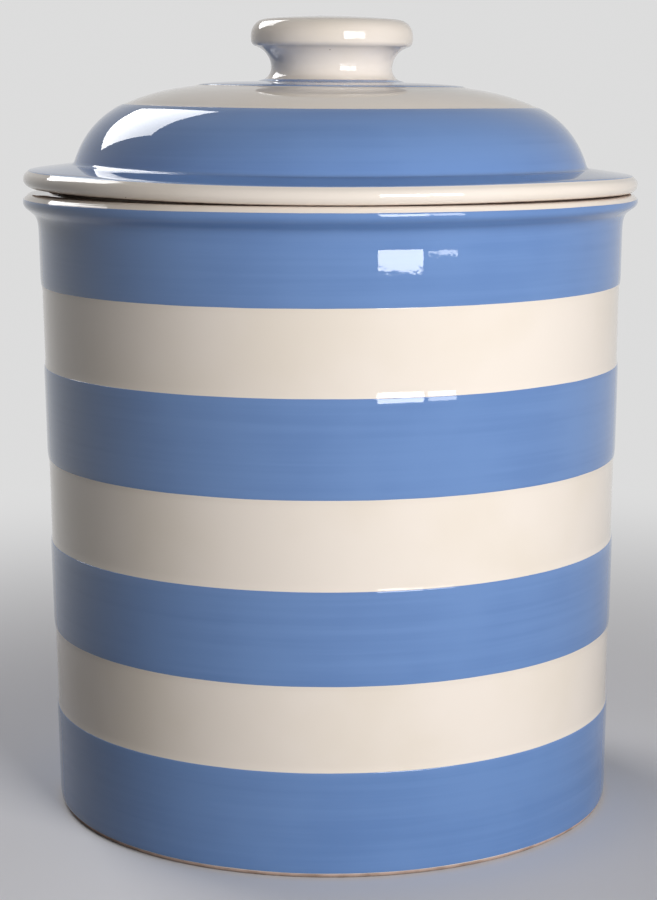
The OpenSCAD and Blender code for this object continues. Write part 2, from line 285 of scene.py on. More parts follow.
def reach_at(points, value, axis=HEIGHT):
    """Distance from an outline's start at which it first crosses a height, or a radius."""
    for a, b, reached in zip(points, points[1:], along(points)):
        if min(a[axis], b[axis]) <= value <= max(a[axis], b[axis]) and a[axis] != b[axis]:
            return reached + (b - a).length * (value - a[axis]) / (b[axis] - a[axis])
    raise ValueError(f"the outline never reaches {value:.4f}")


def spot(points, normals, reached, s):
    """Point and outward direction of an outline at distance s from its start."""
    i = max(0, min(len(points) - 2, sum(1 for r in reached if r <= s) - 1))
    share = (s - reached[i]) / (reached[i + 1] - reached[i])
    return points[i].lerp(points[i + 1], share), normals[i].lerp(normals[i + 1], share).normalized()


# Distances from the edge of a layer of slip at which its outline has points. Even steps follow.
SLIP_PLACES = [d * MM for d in (0, 0.03, 0.08, 0.15, 0.25, 0.6, 1, 1.5, 2.2, 3, 3.9)]
SLIP_EVEN_FROM = 5 * MM


def slip_layer(skin, start, end, slip, step, faded=0):
    """Closed outline of a layer of slip on a skin, and how thick it is at each point, from 0 to 1.

    Faded is the share of its thickness that the layer has lost at its end.
    """
    normals, reached = outward(skin), along(skin)
    run = end - start
    even = straight(Vector((SLIP_EVEN_FROM, 0)), Vector((run - SLIP_EVEN_FROM, 0)), step)
    middle = [p.x for p in even]
    places = SLIP_PLACES + middle + [run - d for d in reversed(SLIP_PLACES)]
    front, depth = [], []
    for d in places:
        edge = min(d, run - d)
        lip = 1 - min(1, edge / slip.edge_r)
        fall = 1 - min(1, edge / slip.crown_w)
        t = slip.edge_t * math.sqrt(1 - lip**2) + (slip.slip_t - slip.edge_t) * (1 - fall**2)
        t *= 1 - faded * (1 - min(1, (run - d) / slip.crown_w)) ** 2
        p, n = spot(skin, normals, reached, start + d)
        front.append(p + n * t)
        depth.append(t / slip.slip_t)
    back = []
    for d in reversed([places[0], *middle, places[-1]]):
        p, n = spot(skin, normals, reached, start + d)
        back.append(p - n * slip.sunk)
    return front + back, depth + [0.0] * len(back)


# Shares of a fillet's width at which it has points, and how far it reaches under the slip.
FILLET_PLACES = (0, 0.12, 0.25, 0.4, 0.55, 0.7, 0.85, 1)
FILLET_UNDER = 0.9 * MM


def filleted(skin, edges, slip):
    """Outside of the clay, raised beside each band, where the glaze fills the step of the slip.

    An edge is its distance along the skin, the side of it that is bare clay, and the fillet's width.
    """
    normals, reached = outward(skin), along(skin)
    under = FILLET_UNDER
    places = set(reached)
    for s, side, width in edges:
        places |= {s + side * width * share for share in FILLET_PLACES}
        places |= {s - side * under, s - side * under / 2}
    raised = []
    for place in sorted(places):
        lift = 0
        for s, side, width in edges:
            d = (place - s) * side
            if -under < d < width:
                share = 1 + d / under if d < 0 else (1 - d / width) ** 2
                lift = max(lift, slip.fillet_t * share)
        point, normal = spot(skin, normals, reached, place)
        raised.append(point + normal * lift)
    return joined(raised)


def turned(name, outline, node, body, depth=None, open_at_axis=False):
    """Turns an outline of radius and height into a piece that rides on a body and stands for a node.

    An outline that starts and ends on the axis is left open there.
    """
    bpy.ops.object.select_all(action="DESELECT")
    first = outline[0]
    bpy.ops.mesh.primitive_plane_add(size=1 * MM, location=(first.x, 0, first.y))
    piece = bpy.context.object
    piece.name = piece.data.name = name
    bpy.ops.object.mode_set(mode="EDIT")
    bpy.ops.mesh.select_mode(type="VERT")
    bpy.ops.mesh.select_all(action="SELECT")
    bpy.ops.mesh.merge(type="CENTER")
    ends = outline if open_at_axis else [*outline, outline[0]]
    for a, b in zip(ends, ends[1:]):
        step = b - a
        bpy.ops.mesh.extrude_vertices_move(TRANSFORM_OT_translate={"value": (step.x, 0, step.y)})
    if depth:
        bpy.ops.object.mode_set(mode="OBJECT")
        layer = piece.data.attributes.new("slip_depth", "FLOAT", "POINT")
        for vertex, value in zip(layer.data, [*depth, depth[0]]):
            vertex.value = value
        bpy.ops.object.mode_set(mode="EDIT")
    bpy.ops.mesh.select_all(action="SELECT")
    bpy.ops.mesh.spin(steps=TURN_STEPS, angle=math.tau, center=(0, 0, 0), axis=(0, 0, 1))
    bpy.ops.mesh.select_all(action="SELECT")
    bpy.ops.mesh.remove_doubles(threshold=WELD)
    bpy.ops.mesh.normals_make_consistent(inside=False)
    bpy.ops.object.mode_set(mode="OBJECT")
    bpy.ops.object.transform_apply(location=True, rotation=True, scale=True)
    bpy.ops.object.shade_smooth()
    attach(piece, body)
    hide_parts(node)
    return piece


# How far the clay of the crock and of the lid wanders, over what length, and how the bands' edges do.
CROCK_SWAY = {
    "axes": "XY", "bases": ("ORIGINAL_PERLIN", "IMPROVED_PERLIN"), "sway": 0.3 * MM, "size": 70 * MM
}
LID_SWAY = {
    "axes": "XY", "bases": ("IMPROVED_PERLIN", "ORIGINAL_PERLIN"), "sway": 0.3 * MM, "size": 60 * MM
}
BAND_SWAY = {"axes": "Z", "bases": ("BLENDER_ORIGINAL",), "sway": 0.25 * MM, "size": 24 * MM}


def fired(piece, axes, bases, sway, size):
    """Moves a piece's clay a little, as drying and firing do, alike where pieces meet."""
    for axis, basis in zip(axes, bases):
        cloud = bpy.data.textures.new(f"{piece.name}_{axis}", "CLOUDS")
        cloud.noise_scale = size
        cloud.noise_depth = 1
        cloud.noise_basis = basis
        move = piece.modifiers.new(f"fired_{axis}", "DISPLACE")
        move.texture = cloud
        move.texture_coords = "LOCAL"
        move.direction = axis
        move.strength = sway
        move.mid_level = 0.5
        bpy.context.view_layer.objects.active = piece
        bpy.ops.object.modifier_apply(modifier=move.name)


def add(tree, kind, settings=None, links=None):
    """Adds a node, sets its inputs and properties, and links what feeds it."""
    made = tree.nodes.new(kind)
    for key, value in (settings or {}).items():
        if isinstance(key, int) or key in made.inputs:
            made.inputs[key].default_value = value
        else:
            setattr(made, key, value)
    for key, source in (links or {}).items():
        tree.links.new(source, made.inputs[key])
    return made


def new_material(name):
    """An empty material and its node tree."""
    made = bpy.data.materials.new(name)
    made.use_nodes = True
    made.node_tree.nodes.clear()
    return made, made.node_tree


def blend_colours(tree, share, low, high):
    """Colour between two others. Each may be a colour or a socket."""
    mix = add(tree, "ShaderNodeMix", {"data_type": "RGBA"}, {0: share})
    for place, colour in ((6, low), (7, high)):
        if isinstance(colour, bpy.types.NodeSocket):
            tree.links.new(colour, mix.inputs[place])
        else:
            mix.inputs[place].default_value = (*colour, 1)
    return mix.outputs[2]


def ramp_share(tree, source, low, high, low_to=0.0, high_to=1.0):
    """Share that goes smoothly from one value to another as its source goes from low to high."""
    made = add(
        tree,
        "ShaderNodeMapRange",
        {"interpolation_type": "SMOOTHSTEP", 1: low, 2: high, 3: low_to, 4: high_to},
        {0: source},
    )
    return made.outputs[0]


def noise(tree, where, size, detail):
    """Height or share of a soft random pattern whose patches are about a size across."""
    settings = {"Scale": 1 / size, "Detail": detail}
    return add(tree, "ShaderNodeTexNoise", settings, {"Vector": where}).outputs[0]


def bumped(tree, height, distance, normal=None):
    """Normal of a surface raised by a height from 0 to 1 times a distance."""
    links = {"Height": height, "Normal": normal} if normal else {"Height": height}
    return add(tree, "ShaderNodeBump", {"Distance": distance, "Strength": 1}, links).outputs[0]


def reckoned(tree, operation, first, second):
    """Result of a sum on two values. The second may be a number or a socket."""
    made = add(tree, "ShaderNodeMath", {"operation": operation}, {0: first})
    if isinstance(second, bpy.types.NodeSocket):
        tree.links.new(second, made.inputs[1])
    else:
        made.inputs[1].default_value = second
    return made.outputs[0]


def sparse_dots(tree, where, spacing, radius, kept):
    """Share that is 1 in small round dots, one in some cells of the given spacing."""
    cells = add(tree, "ShaderNodeTexVoronoi", {"Scale": 1 / spacing}, {"Vector": where})
    edge = radius / spacing
    dot = ramp_share(tree, cells.outputs["Distance"], 0.5 * edge, edge, low_to=1, high_to=0)
    pick = add(tree, "ShaderNodeSeparateColor", {}, {0: cells.outputs["Color"]})
    held = reckoned(tree, "LESS_THAN", pick.outputs[0], kept)
    return reckoned(tree, "MULTIPLY", dot, held)


def glaze_surface(tree, where):
    """Normal of a fired glaze: slow ripples, a finer peel, and a few pinheads."""
    ripple = bumped(tree, noise(tree, where, 22 * MM, detail=1.5), 0.06 * MM)
    peel = bumped(tree, noise(tree, where, 4 * MM, detail=2), 0.009 * MM, ripple)
    pins = sparse_dots(tree, where, spacing=7 * MM, radius=0.35 * MM, kept=0.3)
    return bumped(tree, pins, 0.03 * MM, peel)


def surfaced(tree, settings, colour, normals):
    """Ends a material in one shader, with a colour and the named normals."""
    shader = add(tree, "ShaderNodeBsdfPrincipled", settings, {"Base Color": colour, **normals})
    add(tree, "ShaderNodeOutputMaterial", {}, {"Surface": shader.outputs[0]})


# Clear earthenware glaze: a sharp, colourless skin over a clay body that only scatters light.
GLAZE = {"Specular IOR Level": 0, "Coat Weight": 1, "Coat Roughness": 0.018, "Coat IOR": 1.5}
# Dry clay without glaze.
DRY_CLAY = {"Roughness": 0.85, "IOR": 1.45, "Specular IOR Level": 0.3}


def glazed(tree, where, colour):
    """Ends a material in the clear glaze over a colour."""
    normal = glaze_surface(tree, where)
    surfaced(tree, GLAZE, colour, {"Normal": normal, "Coat Normal": normal})


def cream_glaze(colours):
    """Cream earthenware, dipped in clear glaze: warm white with faint clouds and a few iron specks."""
    made, tree = new_material("cream_earthenware_dipped_in_clear_glaze")
    where = add(tree, "ShaderNodeTexCoord").outputs["Object"]
    pooled = ramp_share(tree, noise(tree, where, 55 * MM, detail=3), 0.4, 0.75, high_to=0.55)
    body = blend_colours(tree, pooled, colours.cream, colours.cream_thick)
    specks = sparse_dots(tree, where, spacing=17 * MM, radius=0.42 * MM, kept=0.22)
    soft = reckoned(tree, "MULTIPLY", specks, 0.7)
    glazed(tree, where, blend_colours(tree, soft, body, colours.speck))
    return made


def blue_slip(colours):
    """Blue slip trailed on the lathe under clear glaze: faint level streaks, paler at its edges."""
    made, tree = new_material("blue_slip_trailed_on_the_lathe")
    where = add(tree, "ShaderNodeTexCoord").outputs["Object"]
    round_wall, up_wall = 160 * MM, 3.5 * MM
    streak_scale = (1 / round_wall, 1 / round_wall, 1 / up_wall)
    level = add(tree, "ShaderNodeMapping", {"Scale": streak_scale}, {"Vector": where})
    streaks = noise(tree, level.outputs[0], size=1, detail=3)
    both = reckoned(tree, "MULTIPLY", streaks, noise(tree, where, 40 * MM, detail=2))
    pooled = ramp_share(tree, both, 0.12, 0.42, high_to=0.8)
    body = blend_colours(tree, pooled, colours.blue, colours.blue_thick)
    depth = add(tree, "ShaderNodeAttribute", {"attribute_name": "slip_depth"})
    thin = ramp_share(tree, depth.outputs["Fac"], 0.15, 0.75, low_to=0.9, high_to=0)
    glazed(tree, where, blend_colours(tree, thin, body, colours.blue_thin))
    return made


def bare_clay(colours):
    """Fired clay wiped clean of glaze: dry and sandy with darker soiling, no shine."""
    made, tree = new_material("bare_earthenware_wiped_of_glaze")
    where = add(tree, "ShaderNodeTexCoord").outputs["Object"]
    soiled = ramp_share(tree, noise(tree, where, 9 * MM, detail=5), 0.4, 0.7)
    colour = blend_colours(tree, soiled, colours.bare, colours.bare_dark)
    grit = noise(tree, where, 0.9 * MM, detail=3)
    surfaced(tree, DRY_CLAY, colour, {"Normal": bumped(tree, grit, 0.08 * MM)})
    return made


def finish_named(make):
    """The material that a function makes, made once for the whole object."""
    kept = bpy.context.scene.get("crock_materials", {})
    if make.__name__ not in kept:
        made = make(bpy.context.scene.glaze_colours)
        bpy.context.scene["crock_materials"] = {**dict(kept), make.__name__: made.name}
        return made
    return bpy.data.materials[kept[make.__name__]]


def give(piece, *materials):
    """Gives a piece its materials. The first covers it all."""
    piece.data.materials.clear()
    for made in materials:
        piece.data.materials.append(made)


def wiped(piece, is_bare):
    """Gives the piece's second material to the faces whose middle passes a test on radius and height."""
    bpy.ops.object.select_all(action="DESELECT")
    bpy.context.view_layer.objects.active = piece
    piece.select_set(True)
    bpy.ops.object.mode_set(mode="EDIT")
    bpy.ops.mesh.select_mode(type="FACE")
    bpy.ops.mesh.select_all(action="DESELECT")
    bpy.ops.object.mode_set(mode="OBJECT")
    for face in piece.data.polygons:
        face.select = is_bare(face.center.xy.length, face.center.z)
    bpy.ops.object.mode_set(mode="EDIT")
    piece.active_material_index = 1
    bpy.ops.object.material_slot_assign()
    bpy.ops.object.mode_set(mode="OBJECT")


def wall_at(p, z):
    """Outer radius of the crock's wall at height z."""
    return p.foot_r + (p.neck_r - p.foot_r) / (p.seat_h - p.neck_depth) * z


# Share of the way from the corner under the rim at which the handles of its hollow end.
HOLLOW_PULL = 0.28


def crock_skin(p, top_a):
    """Outside of the crock from the foot to an angle round the rim's roll."""
    centre = Vector((p.rim_r - p.roll_r, p.seat_h - p.roll_r))
    start = centre + polar(p.roll_r, -p.flare_a)
    lean = (p.neck_r - p.foot_r) / (p.seat_h - p.neck_depth)
    down = Vector((math.sin(p.flare_a), math.cos(p.flare_a)))
    run = (wall_at(p, start.y) - start.x) / (down.x - lean * down.y)
    neck = start + down * run
    low = Vector((wall_at(p, p.foot_edge_r), p.foot_edge_r))
    below = (low - neck).normalized() * p.hollow_low
    above = (start - neck).normalized() * p.hollow_high
    handles = neck + below * HOLLOW_PULL, neck + above * HOLLOW_PULL
    hollow = curve(neck + below, *handles, neck + above, n=20)
    return joined(
        straight(low, hollow[0], WALL_STEP),
        hollow,
        straight(hollow[-1], start, FLARE_STEP),
        arc(centre, p.roll_r, -p.flare_a, top_a, n=28),
    )


def dome_points(p):
    """Outside of the dome up to the landing, the hollow at its foot, and the top of the edge's roll."""
    foot_r = p.lid_r - p.flange_w
    square = math.pi / 2 - p.flange_a
    edge = Vector((p.lid_r - p.roll_r, p.underside_h + p.roll_r)) + polar(p.roll_r, square)
    foot = Vector((foot_r, edge.y + (edge.x - foot_r) * math.tan(p.flange_a)))
    side = Vector((-math.sin(p.lean_a), math.cos(p.lean_a)))
    fall = Vector((math.cos(p.flange_a), -math.sin(p.flange_a)))
    run = p.hollow_r / math.tan(side.angle(fall) / 2)
    top = Vector((p.landing_r, p.crown_h))
    low = foot + side * run
    reach = Vector((p.crown_reach, 0))
    dome = curve(low, low + side * p.side_reach, top + reach, top, n=90)
    return dome, rounded(edge, foot, foot + side * run * 2, p.hollow_r, n=12), edge


def lid_skin(p, edge_a):
    """Outside of the lid from an angle round its edge up to the landing under the knob."""
    centre = Vector((p.lid_r - p.roll_r, p.underside_h + p.roll_r))
    dome, hollow, edge = dome_points(p)
    rolled = arc(centre, p.roll_r, edge_a, math.pi / 2 - p.flange_a, n=28)
    return joined(rolled, straight(edge, hollow[0], EDGE_STEP), hollow, dome)


def warped(piece, radius, low, high, falls):
    """Bends a piece with a cage of points, as firing does.

    Falls is how far each point of the cage drops: by level, then front to back, then left to right.
    """
    bpy.ops.object.select_all(action="DESELECT")
    bpy.ops.object.add(type="LATTICE", location=(0, 0, (low + high) / 2))
    cage = bpy.context.object
    cage.scale = (2 * radius, 2 * radius, high - low)
    for axis, count in zip("uvw", (len(falls[0][0]), len(falls[0]), len(falls))):
        setattr(cage.data, f"points_{axis}", count)
        kind = "KEY_LINEAR" if count < 3 else "KEY_CARDINAL"
        setattr(cage.data, f"interpolation_type_{axis}", kind)
    drops = [fall for level in falls for row in level for fall in row]
    for point, fall in zip(cage.data.points, drops):
        point.co_deform.z -= fall / cage.scale.z
    bend = piece.modifiers.new("warp", "LATTICE")
    bend.object = cage
    bpy.context.view_layer.objects.active = piece
    bpy.ops.object.modifier_apply(modifier=bend.name)
    bpy.data.objects.remove(cage)


# Depth below the seat to which the rim sags, and the share of the sag at each level from there up.
SAG_DEPTH = 14 * MM
SAG_SHARES = (0, 0.3, 1)


def sagged(piece, p):
    """Lowers the top of the crock's rim, more at its right, as fired rims rarely stay level."""
    side = (p.sag_left, p.sag_right)
    ends = [fall - p.sag_spared for fall in side]
    falls = [[[share * fall for fall in row] for row in (ends, side, ends)] for share in SAG_SHARES]
    warped(piece, p.rim_r, p.seat_h - SAG_DEPTH, p.seat_h, falls)


# Corners under the foot, and how far in from the foot ring's inner edge the clay is still bare.
RECESS_R = 2 * MM
RING_EDGE_R = 1.2 * MM
RING_BARE_IN = 0.2 * MM
# Height of a point that gives the wall's direction where it leaves the foot.
WALL_FROM = 20 * MM


class CROCK_OT_body(bpy.types.Operator):
    """Model the crock's turned body, with its foot, floor and rolled rim"""

    bl_idname = "crock.body"
    bl_label = "Crock body"

    def execute(self, context):
        p, slip = context.scene.crock_sizes, context.scene.slip_sizes
        skin = crock_skin(p, math.pi / 2)
        edges = []
        for node in WALL_BANDS.values():
            low, high = (reach_at(skin, corner.z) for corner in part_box(node))
            edges += [(low, -1, slip.fillet_w), (high, 1, slip.fillet_w)]
        rim_low = reach_at(skin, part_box("rim_slip_band")[0].z)
        rim_high = along(crock_skin(p, slip.rim_a))[-1]
        edges += [(rim_low, -1, slip.fillet_w), (rim_high, 1, slip.roll_fillet_w)]
        edges = [edge for edge in edges if edge[0] > slip.fillet_w]
        ring_in = p.foot_r - p.foot_edge_r - p.foot_ring_w
        floor_z = p.foot_recess + p.floor_t
        mouth_r = wall_at(p, p.seat_h) - p.wall_t
        under = Vector((0, p.foot_recess))
        step_up = Vector((ring_in - p.foot_recess, p.foot_recess))
        ring = Vector((ring_in, 0))
        outer = Vector((p.foot_r, 0))
        wall = Vector((wall_at(p, WALL_FROM), WALL_FROM))
        roll_top = Vector((p.rim_r - p.roll_r, p.seat_h))
        mouth = Vector((mouth_r, p.seat_h))
        inner = Vector((wall_at(p, floor_z) - p.wall_t, floor_z))
        middle = Vector((0, floor_z))
        lip = rounded(roll_top, mouth, inner, p.mouth_edge_r, n=10)
        corner = rounded(mouth, inner, middle, p.floor_corner_r, n=16)
        skirt = rounded(under, step_up, ring, RECESS_R, n=5)
        outline = joined(
            straight(under, skirt[0], FLAT_STEP),
            skirt,
            rounded(step_up, ring, outer, RING_EDGE_R, n=5),
            rounded(ring, outer, wall, p.foot_edge_r),
            filleted(skin, edges, slip),
            lip,
            straight(lip[-1], corner[0], INSIDE_STEP),
            corner,
            straight(corner[-1], middle, FLAT_STEP),
        )
        piece = turned(
            "glazed_crock", outline, "crock_body", "crock",
            open_at_axis=True,
        )
        give(piece, finish_named(cream_glaze), finish_named(bare_clay))
        wiped(piece, lambda r, z: z < p.foot_bare_h and r > ring_in - RING_BARE_IN)
        fired(piece, **CROCK_SWAY)
        sagged(piece, p)
        return {"FINISHED"}


class CROCK_OT_wall_bands(bpy.types.Operator):
    """Model the four raised bands of blue slip on the crock"""

    bl_idname = "crock.wall_bands"
    bl_label = "Bands on the crock"

    def execute(self, context):
        p, slip = context.scene.crock_sizes, context.scene.slip_sizes
        skin = crock_skin(p, slip.rim_a)
        ends = {
            name: [reach_at(skin, corner.z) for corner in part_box(node)]
            for name, node in WALL_BANDS.items()
        }
        rim_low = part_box("rim_slip_band")[0].z
        ends["rim_band"] = [reach_at(skin, rim_low), along(skin)[-1]]
        for name, (start, end) in ends.items():
            node = WALL_BANDS.get(name, "rim_slip_band")
            step = RIM_BAND_STEP if name == "rim_band" else BAND_STEP
            outline, depth = slip_layer(skin, start, end, slip, step)
            piece = turned(name, outline, node, "crock", depth)
            give(piece, finish_named(blue_slip))
            fired(piece, **CROCK_SWAY)
            fired(piece, **BAND_SWAY)
            if name == "rim_band":
                sagged(piece, p)
        return {"FINISHED"}


# Under the lid: the knee where dome meets ring, the ring's corners, and how far its inside rises.
KNEE_R = 3 * MM
KNEE_DROP = 2 * MM
RING_TOP_R = 5 * MM
RING_CORNER_R = 2 * MM
RING_TOP_RISE = 1 * MM
# Heights of bare clay above the lid's underside and above the ring's lower edge.
SEAT_BARE_H = 0.25 * MM
RING_BARE_H = 0.9 * MM


class CROCK_OT_lid(bpy.types.Operator):
    """Model the domed lid with its flange and locating ring, and the blue slip on it"""

    bl_idname = "crock.lid"
    bl_label = "Lid and its band"

    def execute(self, context):
        p, slip = context.scene.lid_sizes, context.scene.slip_sizes
        skin = lid_skin(p, -math.pi / 2)
        band_low = p.roll_r * (slip.lid_a + math.pi / 2)
        band_high = reach_at(skin, p.crown_h - slip.crown_h)
        crown_edge = reach_at(skin, slip.crown_r, RADIUS)
        edges = [
            (band_low, -1, slip.roll_fillet_w),
            (band_high, 1, slip.fillet_w),
            (crown_edge, -1, slip.fillet_w),
        ]
        root = Vector((p.ring_r, p.underside_h))
        ring_low = Vector((p.ring_r - p.ring_taper, p.ring_low))
        ring_low_in = Vector((p.ring_r - p.ring_t, p.ring_low))
        ring_top_h = p.underside_h + RING_TOP_RISE
        ring_top_in = Vector((p.ring_r - p.ring_t + p.ring_taper, ring_top_h))
        side = Vector((-math.sin(p.lean_a), math.cos(p.lean_a)))
        inner = moved_out(dome_points(p)[0], -p.lid_t)
        knee = inner[0] - side * KNEE_DROP
        edge_low = Vector((p.lid_r - p.roll_r, p.underside_h))
        outline = joined(
            filleted(skin, edges, slip),
            [Vector((p.vent_r, p.crown_h)), Vector((p.vent_r, p.crown_h - p.lid_t))],
            list(reversed(inner)),
            rounded(inner[0], knee, ring_top_in, KNEE_R, n=5),
            rounded(knee, ring_top_in, ring_low_in, RING_TOP_R),
            rounded(ring_top_in, ring_low_in, ring_low, RING_CORNER_R, n=6),
            rounded(ring_low_in, ring_low, root, RING_CORNER_R, n=6),
            rounded(ring_low, root, edge_low, RING_CORNER_R, n=6),
        )
        shell = turned("glazed_lid", outline, "lid_shell", "lid")
        give(shell, finish_named(cream_glaze), finish_named(bare_clay))
        wiped(
            shell,
            lambda r, z: z < p.underside_h + SEAT_BARE_H and r > p.ring_r
            or z < p.ring_low + RING_BARE_H,
        )
        outline, depth = slip_layer(skin, band_low, band_high, slip, LID_BAND_STEP)
        band = turned("lid_band", outline, "lid_slip_band", "lid", depth)
        give(band, finish_named(blue_slip))
        for piece in (shell, band):
            fired(piece, **LID_SWAY)
            settled(piece, p)
        return {"FINISHED"}


def settled(piece, p):
    """Warps a piece of the lid at the front, then tilts and raises it as it sits on the uneven rim."""
    front = (p.left_fall, p.front_fall, -p.right_rise)
    warped(piece, p.lid_r, p.underside_h, p.crown_h, [[front, (0, 0, 0), (0, 0, 0)]])
    bpy.ops.object.select_all(action="DESELECT")
    bpy.context.view_layer.objects.active = piece
    piece.select_set(True)
    bpy.ops.object.mode_set(mode="EDIT")
    bpy.ops.mesh.select_all(action="SELECT")
    bpy.ops.transform.rotate(
        value=-p.tilt_a, orient_axis="Y", center_override=(0, 0, p.underside_h)
    )
    bpy.ops.transform.translate(value=(0, 0, p.rise))
    bpy.ops.object.mode_set(mode="OBJECT")


# Turn of the neck's flare, turn of the cap's shoulder, and reach of the curve over the cap's top.
FLARE_TURN = math.asin(0.9)
SHOULDER_TURN = math.radians(84)
CAP_REACH = 10 * MM
# Inside of the hollow knob: its roof's extra thickness, and its chamber's inset, side, slope and corners.
ROOF_EXTRA = 1 * MM
CHAMBER_IN = 3 * MM
CHAMBER_SIDE = 4.9 * MM
CHAMBER_SLOPE = 5 * MM
CHAMBER_R = 4 * MM
CHAMBER_LOW_R = 3 * MM
# Slip round the knob's foot: how far out it leaves the dome, how far round the flare it climbs, how far
# short of that it ends, and the share of its thickness that it has lost there.
FILL_OUT = 6 * MM
FILL_TURN = 0.16
FILL_SHORT = 0.3 * MM
FILL_FADED = 0.85


class CROCK_OT_knob(bpy.types.Operator):
    """Model the hollow mushroom knob on the crown of the lid, and the blue slip round its foot"""

    bl_idname = "crock.knob"
    bl_label = "Knob and its band"

    def execute(self, context):
        p, lid, slip = context.scene.knob_sizes, context.scene.lid_sizes, context.scene.slip_sizes
        flare = Vector((p.neck_r + p.flare_r, p.neck_h))
        base_a = math.pi + FLARE_TURN
        hollow = Vector((p.neck_r + p.hollow_r, p.neck_h))
        reach = p.hollow_r + p.cap_low_r
        low_x = p.knob_r - p.side_r + (p.side_r - p.cap_low_r) * math.cos(p.side_a)
        low = Vector((low_x, hollow.y + math.sqrt(reach**2 - (hollow.x - low_x) ** 2)))
        join_a = math.atan2(low.y - hollow.y, low.x - hollow.x)
        side = low - polar(p.side_r - p.cap_low_r, -p.side_a)
        shoulder = side + polar(p.side_r - p.shoulder_r, p.side_a)
        height = p.top_h - p.low_h
        foot = flare + polar(p.flare_r, base_a)
        base = Vector((foot.x, 0))
        roof_h = height - p.wall_t - ROOF_EXTRA
        bore_r = p.neck_r - p.wall_t
        wide_r = p.knob_r - p.wall_t - CHAMBER_IN
        wide_h = roof_h - CHAMBER_SIDE
        bore_low = Vector((bore_r, 0))
        bore_neck = Vector((bore_r, wide_h - CHAMBER_SLOPE))
        wide_low = Vector((wide_r, wide_h))
        roof = Vector((wide_r, roof_h))
        middle = Vector((0, roof_h))
        top = Vector((0, height))
        cap = arc(shoulder, p.shoulder_r, p.side_a, SHOULDER_TURN, n=20)
        onward = cap[-1] + polar(CAP_REACH, SHOULDER_TURN + math.pi / 2)
        rise = curve(cap[-1], onward, top + Vector((CAP_REACH, 0)), top, n=10)
        shape = joined(
            [middle],
            rounded(middle, roof, wide_low, CHAMBER_R, n=6),
            rounded(roof, wide_low, bore_neck, CHAMBER_LOW_R, n=5),
            rounded(wide_low, bore_neck, bore_low, CHAMBER_R, n=5),
            [bore_low, base],
            arc(flare, p.flare_r, base_a, math.pi, n=16),
            arc(hollow, p.hollow_r, math.pi, join_a, n=24),
            arc(low, p.cap_low_r, join_a - math.pi, -p.side_a, n=18),
            arc(side, p.side_r, -p.side_a, p.side_a, n=8),
            cap,
            rise,
        )
        outline = [q + Vector((0, p.low_h)) for q in shape]
        piece = turned(
            "glazed_knob", outline, "lid_knob", "lid",
            open_at_axis=True,
        )
        give(piece, finish_named(cream_glaze))
        crown = [q for q in dome_points(lid)[0] if q.x > foot.x + FILL_OUT]
        down = polar(foot.y / -math.cos(base_a), base_a + math.pi / 2)
        climb = arc(flare, p.flare_r, base_a, base_a - FILL_TURN, n=4)
        neck = [q + Vector((0, p.low_h)) for q in climb]
        fill = rounded(crown[-1], neck[0] + down, neck[0], p.foot_fill_r, n=10)
        skin = joined(crown, fill, neck)
        start = reach_at(skin, slip.crown_r, RADIUS)
        end = along(skin)[-1] - FILL_SHORT
        outline, depth = slip_layer(skin, start, end, slip, LID_BAND_STEP, faded=FILL_FADED)
        band = turned("crown_band", outline, "crown_slip_band", "lid", depth)
        give(band, finish_named(blue_slip))
        for made in (piece, band):
            fired(made, **LID_SWAY)
            settled(made, lid)
        return {"FINISHED"}


class StageSettings(bpy.types.PropertyGroup):
    """Camera, lamps and floor."""

    camera_y: length("Camera distance", 0.985, "Distance of the camera in front of the crock's axis")
    camera_h: length("Camera height", 0.3268, "Height of the camera")
    pitch: slope("Camera pitch", 9.58, "How far the camera looks down")
    pan: slope("Camera pan", 0.0745, "How far the camera turns to the left")
    roll: slope("Camera roll", -0.206, "How far the camera leans")
    lens: bpy.props.FloatProperty(
        name="Lens", description="Focal length for a 36 mm picture", default=85.886, unit="CAMERA"
    )
    key_power: bpy.props.FloatProperty(
        name="Key lamp", description="Power of the wide lamp at the front right", default=10.4
    )
    side_power: bpy.props.FloatProperty(
        name="Side lamp", description="Power of the narrow lamp beside it", default=4.3
    )
    rim_power: bpy.props.FloatProperty(
        name="Rim lamp", description="Power of the lamp behind at the left", default=12.5
    )
    room: bpy.props.FloatProperty(
        name="Room light", description="Brightness of the even light from all sides", default=0.04
    )
    backdrop: bpy.props.FloatProperty(
        name="Backdrop", description="Brightness of the pale background", default=0.72
    )


# Lamps aim at the crock's axis at their own height, but no higher than this.
AIM_H = 0.2


def lamp(name, power, bearing, height, distance, width, tall, roll=0):
    """A soft rectangular lamp that faces the crock. Bearing is measured to the right of the front."""
    bpy.ops.object.light_add(type="AREA")
    made = bpy.context.object
    made.name = name
    made.data.shape = "RECTANGLE"
    made.data.size = width
    made.data.size_y = tall
    made.data.energy = power
    a = math.radians(bearing)
    made.location = (distance * math.sin(a), -distance * math.cos(a), height)
    aim = Vector((0, 0, min(height, AIM_H))) - made.location
    turn = aim.to_track_quat("-Z", "Y").to_matrix() @ Matrix.Rotation(math.radians(roll), 3, "Z")
    made.rotation_euler = turn.to_euler()
    made.visible_camera = False


def seen_directly(tree):
    """Share that is 1 for rays that carry the background: straight, mirrored or through glass."""
    rays = add(tree, "ShaderNodeLightPath").outputs
    first = reckoned(tree, "MAXIMUM", rays["Is Camera Ray"], rays["Is Glossy Ray"])
    return reckoned(tree, "MAXIMUM", first, rays["Is Transmission Ray"])


# Radius of the floor, and the distances over which it melts into the backdrop.
FLOOR_R = 14
MELT_FROM, MELT_TO = 0.18, 0.8
# Width of the picture that the camera's focal length is for, in millimetres.
FILM_W = 36


